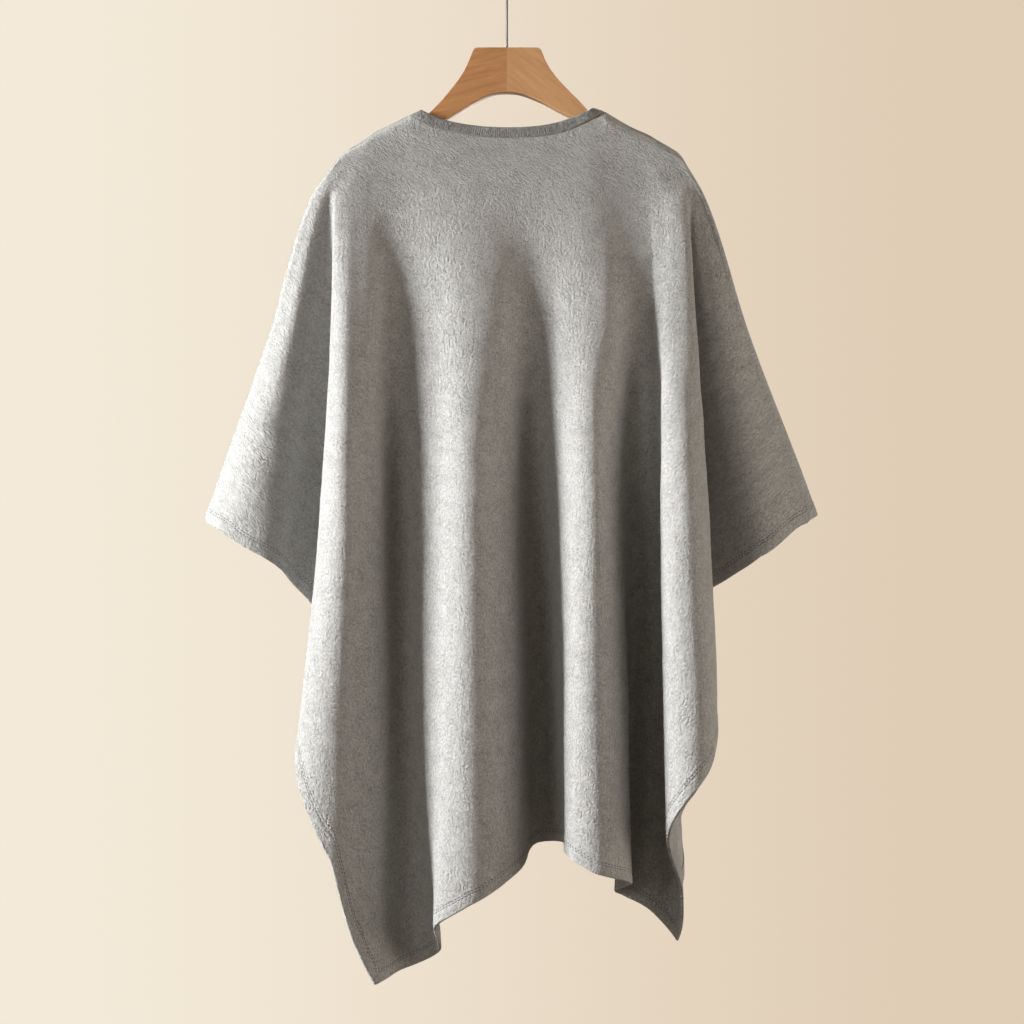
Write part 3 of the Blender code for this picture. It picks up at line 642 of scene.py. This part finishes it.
def seamFrames(points, rolls):  # outward way and lap way along a seam, sleeve to neck
    run = np.gradient(points, axis=0)
    run[:, 1] = 0
    run = unit(run)
    outward = np.stack([-run[:, 2], np.zeros(len(run)), run[:, 0]], axis=1)
    if outward[len(run) // 2, 2] < 0:
        outward = -outward
    back = np.array([0.0, -1.0, 0.0])
    level = np.cos(rolls)[:, None]
    upright = np.sin(rolls)[:, None]
    return level * outward + upright * back, level * back - upright * outward


def partSeam(grid, normals, seamRolls, side, neck):
    lowest = hemStart + foldRow
    last = grid.shape[1] - 1
    for edge, stretch in ((0, range(neck[0] + 1)), (last, range(last, neck[-1] - 1, -1))):
        path = [(row, edge) for row in range(lowest, 0, -1)] + [(0, c) for c in stretch]
        rows, columns = np.array(path).T
        ways, laps = seamFrames(grid[rows, columns], seamRolls[columns])
        normals[rows, columns] = ways
        grid[rows, columns] -= side * laps * cloth["seamGap"] / 2
        normals[lowest + 1:, edge] = normals[lowest, edge]
        grid[lowest + 1:, edge] -= side * laps[0] * cloth["seamGap"] / 2


def softWaves(grid, normals, places, side):
    rows, columns = grid.shape[:2]
    fromSeam = eased(np.minimum(places, places[-1] - places) / cloth["waveSeam"])
    size, stretch = cloth["dentSize"], cloth["dentStretch"]
    turn, shift = cloth["dentShift"]
    across = lengthAcross(grid)
    down = lengthDown(grid)
    for row in range(rows):
        fall = eased((row - cloth["waveFrom"]) / cloth["waveGrowth"])
        for column in range(columns):
            u, v = across[row, column], down[row, column]
            wave = noise.noise(Vector((u / cloth["waveWide"], v / cloth["waveTall"],
                                       side * cloth["waveShift"])))
            dent = noise.noise(Vector((u / size, v / size / stretch, side * turn + shift)))
            height = cloth["waveHeight"] * wave + cloth["dentHeight"] * dent
            height *= fromSeam[column] * fall
            grid[row, column] += normals[row, column] * height


def lengthAcross(grid):  # along the cloth from the middle column, at one height
    lowest = hemStart + foldRow
    fall = -np.minimum.accumulate(grid[:, :, 2], axis=0)
    tiny = np.arange(lowest) * 1e-6  # keeps the falls in rising order
    columns = grid.shape[1]
    across = np.zeros(grid.shape[:2])
    for way, stop in ((1, columns - 1), (-1, 0)):
        for old in range(columns // 2, stop, way):
            new = old + way
            here, ahead = fall[:lowest, old], fall[:lowest, new] + tiny
            beside = readAt(here, ahead, grid[:lowest, new, :2])
            span = np.linalg.norm(beside - grid[:lowest, old, :2], axis=1)
            total = across[:lowest, old] + way * span
            across[:, new] = np.interp(fall[:, new], here + tiny, total)
    return across


def lengthDown(grid):  # down each column, counted from the end of the lap
    down = np.zeros(grid.shape[:2])
    down[1:] = np.cumsum(np.linalg.norm(np.diff(grid, axis=0), axis=2), axis=0)
    lap = cloth["lapRows"]
    return down - down[lap:lap + 1] - grid[lap:lap + 1, :, 2]


def vertexArray(item):
    points = np.empty(len(item.data.vertices) * 3)
    item.data.vertices.foreach_get("co", points)
    return points.reshape(-1, 3)


def moveVertices(item, points):
    item.data.vertices.foreach_set("co", points.ravel())
    item.data.update()


def meshFrom(name, points, faces, uv=None):
    mesh = bpy.data.meshes.new(name)
    mesh.from_pydata(points.tolist(), [], faces)
    if uv is not None:
        layer = mesh.uv_layers.new(name="clothMap")
        corners = np.empty(len(mesh.loops), int)
        mesh.loops.foreach_get("vertex_index", corners)
        layer.data.foreach_set("uv", uv[corners].ravel())
    mesh.update()
    return addObject(name, mesh)


def faceOutward(item):
    activate(item)
    bpy.ops.object.mode_set(mode="EDIT")
    bpy.ops.mesh.select_all(action="SELECT")
    bpy.ops.mesh.normals_make_consistent(inside=False)
    bpy.ops.mesh.select_all(action="DESELECT")
    bpy.ops.object.mode_set(mode="OBJECT")


def tidyShell(item, angle=50.0):  # smooth outside, sharp only at edges past the angle
    faceOutward(item)
    bpy.ops.object.shade_smooth_by_angle(angle=math.radians(angle))
    return item


def wallSheet(name, grid, normals, wall, uv):  # closed wall about the middle points
    rows, columns = grid.shape[:2]
    outer = (grid + normals * wall / 2).reshape(-1, 3)
    inner = (grid - normals * wall / 2).reshape(-1, 3)
    count = rows * columns
    number = np.arange(count).reshape(rows, columns)
    a, b = number[:-1, :-1].ravel(), number[1:, :-1].ravel()
    c, d = number[1:, 1:].ravel(), number[:-1, 1:].ravel()
    rim = np.concatenate([number[0], number[1:, -1], number[-1, -2::-1], number[-2:0:-1, 0]])
    ahead = np.roll(rim, -1)
    corners = ((a, b, c, d), (a + count, d + count, c + count, b + count),
               (rim, ahead, ahead + count, rim + count))
    faces = np.concatenate([np.stack(four, axis=1) for four in corners]).tolist()
    maps = np.concatenate([uv.reshape(-1, 2)] * 2) * mm
    return tidyShell(meshFrom(name, np.concatenate([outer, inner]) * mm, faces, maps))


def buildPanel(name, folds, side):
    places, grid, lapNormals, seamRolls, neck = panelSurface(folds, side)
    normals = surfaceNormals(grid, lapNormals, side)
    partSeam(grid, normals, seamRolls, side, neck)
    softWaves(grid, normals, places, side)
    edge = (grid[0, neck].copy(), normals[0, neck].copy(), grid[1, neck].copy())
    uv = np.stack([lengthAcross(grid), -lengthDown(grid)], axis=2)
    for row, (_, height) in enumerate(hemRows, hemStart):
        grid[row] += normals[row] * height
    down = lengthDown(grid)
    dip = cloth["seamDip"] * (1 - eased((down - down[:1]) / cloth["seamDipWidth"]))
    dip[:, neck] = 0
    dip[hemStart:] = 0
    grid -= normals * dip[:, :, None]
    panel = wallSheet(name, grid, normals, cloth["wall"], uv)
    rows = [hemStart + row for row in stitchRows]
    lines = [(grid[row] + normals[row] * cloth["wall"] / 2, normals[row]) for row in rows]
    print(name, grid.shape[:2], "rows and columns")
    return panel, edge, lines


# stitches, made once and laid along a line
hemStitch = {
    "pitch": 4.2,
    "length": 3.3,
    "width": 1.6,
    "height": 0.8,
    "sink": 0.12,
    "sides": 6,
    "rings": 4,
    "smooth": 80.0,  # degrees up to which an edge is smooth
    # painted shade: the beads are dark to stand for the shadow in the pressed stitch rows,
    # while the thread itself is the cloth's colour
    "color": (0.07, 0.065, 0.058),
}


def beadShape(segments, rings):
    bpy.ops.mesh.primitive_uv_sphere_add(segments=segments, ring_count=rings, radius=1.0)
    item = bpy.context.object
    points = vertexArray(item)
    faces = [tuple(face.vertices) for face in item.data.polygons]
    bpy.data.objects.remove(item)
    return points, faces


def evenSteps(points, ways, pitch):  # places along a line at even distances
    along = lengthAlong(points)
    count = max(int(along[-1] / pitch), 1)
    at = (np.arange(count) + 0.5) * along[-1] / count
    where, facing = readAt(at, along, points), unit(readAt(at, along, ways))
    run = np.gradient(where, axis=0)
    run -= facing * np.sum(run * facing, axis=1)[:, None]
    return where, unit(run), facing


def layStitches(name, lines, size):
    shape, shapeFaces = beadShape(size["sides"], size["rings"])
    beads = []
    for points, ways in lines:
        where, run, facing = evenSteps(points, ways, size["pitch"])
        place = where - facing * size["sink"]
        for center, long, wide, high in zip(place, run, np.cross(facing, run), facing):
            beads.append(center + shape[:, :1] * long * size["length"] / 2
                         + shape[:, 1:2] * wide * size["width"] / 2
                         + shape[:, 2:] * high * size["height"] / 2)
    faces = [[corner + bead * len(shape) for corner in face]
             for bead in range(len(beads)) for face in shapeFaces]
    return tidyShell(meshFrom(name, np.concatenate(beads) * mm, faces), size["smooth"])


# the ribbed neckband
neckband = {
    "height": 12.0,
    "thickness": 3.0,
    "seat": 0.45,
    "slack": 0.5,
    "tilt": 22.0,
    "clearance": 1.8,
    "beside": 0.6,
    "smoothing": 48,
    "ribPitch": 2.5,
    "ribDepth": 0.28,
    "ribSteps": 6,
    "density": 24,  # steps of the smooth line for each point of the neckline
    "corner": 2.0,  # length of the pattern between two corners of the section
    "smooth": 80.0,
}

# section of the folded strip: share of the height, share of half the thickness
bandSection = (
    (0.0, 0.55), (0.08, 0.95), (0.22, 1.05), (0.42, 1.0), (0.62, 1.0), (0.8, 1.0), (0.9, 0.93),
    (0.965, 0.65), (1.0, 0.0),
)


def closedCurve(values, count):  # smooth line through the values and back to the first
    size = len(values)
    at = np.arange(count + 1) * size / count
    here = at.astype(int)
    share = (at - here)[:, None]
    p0, p1 = values[(here - 1) % size], values[here % size]
    p2, p3 = values[(here + 1) % size], values[(here + 2) % size]
    return 0.5 * (2 * p1 + (p2 - p0) * share + (2 * p0 - 5 * p1 + 4 * p2 - p3) * share ** 2
                  + (3 * p1 - p0 - 3 * p2 + p3) * share ** 3)


def ringRun(points):  # from the point before to the one after, round a ring
    return np.roll(points, -1, axis=0) - np.roll(points, 1, axis=0)


def buildNeckband(name, backEdge, frontEdge, armThickness):
    points, normals, below = (np.concatenate([back, front[-2:0:-1]])
                              for back, front in zip(backEdge, frontEdge))
    last = len(backEdge[0]) - 1
    for place, end in ((0, 0), (last, -1)):
        points[place] = (backEdge[0][end] + frontEdge[0][end]) / 2
    upward = unit(np.cross(normals, ringRun(points)))
    middle = len(backEdge[0]) // 2
    if np.dot(upward[middle], points[middle] - below[middle]) < 0:
        upward = -upward
    tilts = math.radians(neckband["tilt"]) * np.clip(normals[:, 2:], 0, 1)
    upper = points + neckband["height"] * (upward * np.cos(tilts) + normals * np.sin(tilts))
    for _ in range(neckband["smoothing"]):
        upper = (np.roll(upper, 1, axis=0) + 2 * upper + np.roll(upper, -1, axis=0)) / 4
    half = neckband["thickness"] / 2
    beside = np.abs(normals[:, 1]) > neckband["beside"]
    clear = armThickness / 2 + half + neckband["clearance"]
    sides = np.sign(normals[:, 1])
    upper[beside, 1] = (sides * np.maximum(sides * upper[:, 1], clear))[beside]

    dense = neckband["density"] * len(points)
    along = lengthAlong(closedCurve(points, dense))
    ribs = int(round(along[-1] / neckband["ribPitch"]))
    count = ribs * neckband["ribSteps"]
    at = np.arange(count) * along[-1] / count
    points, upper, normals = (readAt(at, along, closedCurve(values, dense))
                              for values in (points, upper, normals))
    normals = unit(normals)
    heights = np.linalg.norm(upper - points, axis=1)
    up = (upper - points) / heights[:, None]
    out = np.cross(up, ringRun(points))
    out = unit(out * np.sign(np.sum(out * normals, axis=1))[:, None])
    low = (neckband["seat"] + half * np.abs(np.sum(up * normals, axis=1))
           + neckband["slack"] * np.maximum(normals[:, 2], 0))
    wave = np.cos(2 * math.pi * np.arange(count) / neckband["ribSteps"])
    section = list(bandSection) + [(h, -t) for h, t in bandSection[-2::-1]]
    rings = []
    for h, t in section:
        rise = low + (heights - low) * h
        way = half * t + neckband["ribDepth"] / 2 * (wave - 1) * math.copysign(1, t) * abs(t)
        rings.append(points + up * rise[:, None] + out * way[:, None])
    rings = np.array(rings)
    corners = len(section)
    allPoints = rings.transpose(1, 0, 2).reshape(-1, 3) * mm
    number = np.arange(count * corners).reshape(count, corners)
    ahead = np.roll(number, -1, axis=0)
    faces = np.stack([number, np.roll(number, -1, axis=1), np.roll(ahead, -1, axis=1), ahead],
                     axis=2).reshape(-1, 4)
    uv = np.stack([np.repeat(at, corners),
                   np.tile(np.arange(corners) * neckband["corner"], count)], axis=1) * mm
    band = tidyShell(meshFrom(name, allPoints, faces.tolist(), uv), neckband["smooth"])
    print(name, ribs, "ribs on", round(float(along[-1])), "mm")
    return band, along[-1]


# the wooden hanger and its hook
hanger = {
    "thickness": 17.0,
    "edge": 3.0,
    "tipStart": 162.0,
    "tipLength": 27.0,
    "columns": 120,
    "rows": 14,
    "bore": 1.65,
    "boreTop": -100.0,
    "boreFoot": -130.0,
    "boreSides": 32,
    "edgeSteps": 4,
    "tipLimit": 0.98,
    "smooth": 35.0,
}

hook = {
    "wire": 1.3,
    "innerRadius": 19.0,
    "bendRadius": 10.0,
    "tipAngle": 200.0,
    "stemTop": -47.6,
    "stemFoot": -128.0,
    "bendSteps": 14,
    "loopSteps": 90,
    "stemSteps": 12,
    "roundness": 5,
    "color": (0.1, 0.095, 0.09),
}


def buildArm(name, rows, sign):
    across, tall = hanger["columns"], hanger["rows"]
    bpy.ops.mesh.primitive_grid_add(x_subdivisions=across, y_subdivisions=tall, size=2.0,
                                    rotation=(math.radians(90), 0, 0))
    arm = bpy.context.object
    arm.name = name
    bpy.ops.object.transform_apply(location=False, rotation=True, scale=False)
    flat = vertexArray(arm)
    start, end = rows[0][0], rows[-1][0]
    x = start + (end - start) * (flat[:, 0] + 1) / 2
    top, foot = smoothRows(rows, 1, x), smoothRows(rows, 2, x)
    z = foot + (top - foot) * (flat[:, 2] + 1) / 2
    moveVertices(arm, np.stack([sign * x, np.zeros(len(x)), z], axis=1) * mm)

    plate = arm.modifiers.new("thickness", "SOLIDIFY")
    plate.thickness = hanger["thickness"] * mm
    plate.offset = 0.0
    bpy.ops.object.modifier_apply(modifier="thickness")
    faceOutward(arm)
    points = vertexArray(arm)
    half = hanger["thickness"] / 2 * mm
    rim = np.abs(np.abs(points[:, 1]) - half) < 1e-6
    inner = start * mm + 1e-5
    kinds = {}
    for face in arm.data.polygons:
        for key in face.edge_keys:
            kinds.setdefault(key, set()).add(abs(face.normal.y) > 0.7)
    for edge in arm.data.edges:
        a, b = edge.vertices
        joint = abs(points[a, 0]) < inner and abs(points[b, 0]) < inner
        edge.select = bool(rim[a] and rim[b] and len(kinds[edge.key]) == 2 and not joint)
    bpy.ops.object.mode_set(mode="EDIT")
    bpy.ops.mesh.select_mode(type="EDGE")
    bpy.ops.mesh.bevel(offset=hanger["edge"] * mm, segments=hanger["edgeSteps"],
                       profile=0.5, affect="EDGES", clamp_overlap=True)
    bpy.ops.object.mode_set(mode="OBJECT")

    points = vertexArray(arm)
    beyond = np.clip((np.abs(points[:, 0]) / mm - hanger["tipStart"]) / hanger["tipLength"],
                     0, hanger["tipLimit"])
    points[:, 1] *= np.sqrt(1 - beyond ** 2)
    moveVertices(arm, points)

    depth = hanger["boreTop"] - hanger["boreFoot"]
    bpy.ops.mesh.primitive_cylinder_add(
        vertices=hanger["boreSides"], radius=hanger["bore"] * mm, depth=depth * mm,
        location=(0, 0, (hanger["boreTop"] - depth / 2) * mm))
    drill = bpy.context.object
    activate(arm)
    groove = arm.modifiers.new("groove", "BOOLEAN")
    groove.operation = "DIFFERENCE"
    groove.solver = "EXACT"
    groove.object = drill
    bpy.ops.object.modifier_apply(modifier="groove")
    bpy.data.objects.remove(drill)
    bpy.ops.object.shade_smooth_by_angle(angle=math.radians(hanger["smooth"]))
    return arm


def hookLine():
    radius = hook["innerRadius"] + hook["wire"]
    center = np.array((0.0, -hook["innerRadius"]))
    bend = np.array((hook["bendRadius"], hook["stemTop"]))
    toward = bend - center
    meet = math.atan2(toward[1], toward[0])
    stem = np.linspace(hook["stemFoot"], hook["stemTop"], hook["stemSteps"])
    line = [(0.0, z) for z in stem]
    arcs = ((bend, hook["bendRadius"], math.pi, meet + math.pi, hook["bendSteps"]),
            (center, radius, meet, math.radians(hook["tipAngle"]), hook["loopSteps"]))
    for middle, size, first, last, count in arcs:
        for step in range(1, count + 1):
            angle = first + (last - first) * step / count
            line.append((middle[0] + size * math.cos(angle),
                         middle[1] + size * math.sin(angle)))
    return line


def buildHook(name):
    line = hookLine()
    curve = bpy.data.curves.new(name, "CURVE")
    curve.dimensions = "3D"
    curve.bevel_depth = hook["wire"] * mm
    curve.bevel_resolution = hook["roundness"]
    curve.use_fill_caps = True
    spline = curve.splines.new("POLY")
    spline.points.add(len(line) - 1)
    for point, (x, z) in zip(spline.points, line):
        point.co = (x * mm, 0, z * mm, 1)
    activate(addObject(name, curve))
    bpy.ops.object.convert(target="MESH")
    return tidyShell(bpy.context.object)


# finishes; a pattern has its scale for each metre, detail, roughness and distortion
knitLook = {
    "light": (0.5, 0.495, 0.485),
    "dark": (0.2, 0.196, 0.188),
    "fibre": (1000 / 3.3, 1.0, 0.5, 0.9),
    "fleck": (1000 / 2.1, 2.0, 0.6, 0.0),
    "cloud": (1000 / 16.0, 2.0, 0.5, 0.0),
    "relief": (1.0, 0.35),  # shares of fibre and fleck in the relief
    "tone": (0.8, 1.2, 0.5),  # shares of fibre, fleck and cloud in the colour
    "limits": (0.73, 1.57),
    "sheen": 0.3,
    "bump": 1.0,
    "nap": 1.9,
    "stretch": (1.15, 0.9, 1.0),
}

ribLook = {
    **knitLook,
    # painted shade: the band's knit is darker than the panels' to stand for the shade on the
    # upright ribbed band
    "light": [tone * 0.72 for tone in knitLook["light"]],
    "dark": [tone * 0.42 for tone in knitLook["dark"]],
    "nap": knitLook["nap"] * 1.2,
    "stretch": (1.5, 0.8, 1.0),
}

woodLook = {
    "left": ((0.44, 0.195, 0.075), (0.6, 0.3, 0.125)),
    "right": ((0.56, 0.285, 0.125), (0.67, 0.37, 0.18)),
    "grainTilt": (12.0, -38.0),
    "stretch": (0.09, 0.6, 1.0),
    "grain": (420.0, 4.0, 0.6, 0.6),
    "broad": (95.0, 2.0, 0.5, 0.8),
    "tone": (1.0, 0.9),  # shares of the fine and the broad grain
    "limits": (0.7, 1.2),
}


def mappedBy(nodes, links, vector, values):
    node = nodes.new("ShaderNodeMapping")
    setSockets(node, values)
    links.new(vector, node.inputs["Vector"])
    return node.outputs["Vector"]


def noiseNode(nodes, links, vector, values):
    node = nodes.new("ShaderNodeTexNoise")
    setSockets(node, dict(zip(("Scale", "Detail", "Roughness", "Distortion"), values)))
    links.new(vector, node.inputs["Vector"])
    return node.outputs["Fac"]


def mathNode(nodes, links, operation, first, second):
    node = nodes.new("ShaderNodeMath")
    node.operation = operation
    for socket, value in zip(node.inputs, (first, second)):
        if isinstance(value, (int, float)):
            socket.default_value = value
        else:
            links.new(value, socket)
    return node.outputs[0]


def weightedSum(nodes, links, values, shares):
    total = None
    for value, share in zip(values, shares):
        part = mathNode(nodes, links, "MULTIPLY", value, share)
        total = part if total is None else mathNode(nodes, links, "ADD", total, part)
    return total


def knitMaterial(name, look):
    finish, nodes, links, shader = newMaterial(name)
    place = nodes.new("ShaderNodeUVMap")
    place.uv_map = "clothMap"
    vector = mappedBy(nodes, links, place.outputs["UV"], {"Scale": look["stretch"]})
    patterns = [noiseNode(nodes, links, vector, look[pattern])
                for pattern in ("fibre", "fleck", "cloud")]
    relief = weightedSum(nodes, links, patterns, look["relief"])
    total = weightedSum(nodes, links, patterns, look["tone"])
    tone = toneBetween(nodes, links, total, look["limits"], (look["dark"], look["light"]))
    links.new(tone, shader.inputs["Base Color"])
    setSockets(shader, {"Roughness": 0.95, "Specular IOR Level": 0.15,
                        "Sheen Weight": look["sheen"], "Sheen Roughness": 0.5})
    bump = nodes.new("ShaderNodeBump")
    setSockets(bump, {"Strength": look["bump"], "Distance": look["nap"] * mm})
    links.new(relief, bump.inputs["Height"])
    links.new(bump.outputs["Normal"], shader.inputs["Normal"])
    return finish


def plainMaterial(name, color, roughness, metallic=0.0):
    finish, *_, shader = newMaterial(name)
    setSockets(shader, {"Base Color": (*color, 1.0), "Roughness": roughness,
                        "Metallic": metallic})
    return finish


def woodMaterial(name, tones, tilt):
    finish, nodes, links, shader = newMaterial(name)
    place = nodes.new("ShaderNodeTexCoord")
    vector = mappedBy(nodes, links, place.outputs["Object"],
                      {"Rotation": (0, math.radians(tilt), 0)})
    vector = mappedBy(nodes, links, vector, {"Scale": woodLook["stretch"]})
    patterns = [noiseNode(nodes, links, vector, woodLook[pattern])
                for pattern in ("grain", "broad")]
    total = weightedSum(nodes, links, patterns, woodLook["tone"])
    tone = toneBetween(nodes, links, total, woodLook["limits"], tones)
    links.new(tone, shader.inputs["Base Color"])
    setSockets(shader, {"Roughness": 0.42, "Coat Weight": 0.15, "Coat Roughness": 0.35})
    return finish


def dress(item, finish, node):
    item.data.materials.clear()
    item.data.materials.append(finish)
    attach(item, "root")
    if node:
        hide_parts(node)


# the whole garment on its hanger
def buildAll():
    backPanel, backEdge, backRows = buildPanel("backPanel", backFolds, -1)
    frontPanel, frontEdge, frontRows = buildPanel("frontPanel", frontFolds, 1)
    band, bandLength = buildNeckband("neckband", backEdge, frontEdge, hanger["thickness"])
    backStitches = layStitches("backHemStitches", backRows, hemStitch)
    frontStitches = layStitches("frontHemStitches", frontRows, hemStitch)
    print("stitches:", len(backStitches.data.polygons), len(frontStitches.data.polygons))
    arms = [buildArm("hangerArmLeft", armLeft, -1), buildArm("hangerArmRight", armRight, 1)]
    wire = buildHook("hookWire")
    print("hanger and hook")

    knit = knitMaterial("knit", knitLook)
    rib = knitMaterial("ribKnit", ribLook)
    # dark stitch beads: painted shade of the pressed stitch rows
    stitchShade = plainMaterial("stitchDentShade", hemStitch["color"], roughness=0.8)
    dress(backPanel, knit, "back_panel")
    dress(frontPanel, knit, "front_panel")
    dress(band, rib, "neckband")
    dress(backStitches, stitchShade, None)
    dress(frontStitches, stitchShade, None)
    for arm, side, tilt in zip(arms, ("left", "right"), woodLook["grainTilt"]):
        wood = woodMaterial("wood" + side.title(), woodLook[side], tilt)
        dress(arm, wood, "hanger_arm_" + side)
    metal = plainMaterial("hookWire", hook["color"], roughness=0.32, metallic=1.0)
    dress(wire, metal, "hook_wire")

    print("finishes and sheets")


buildAll()
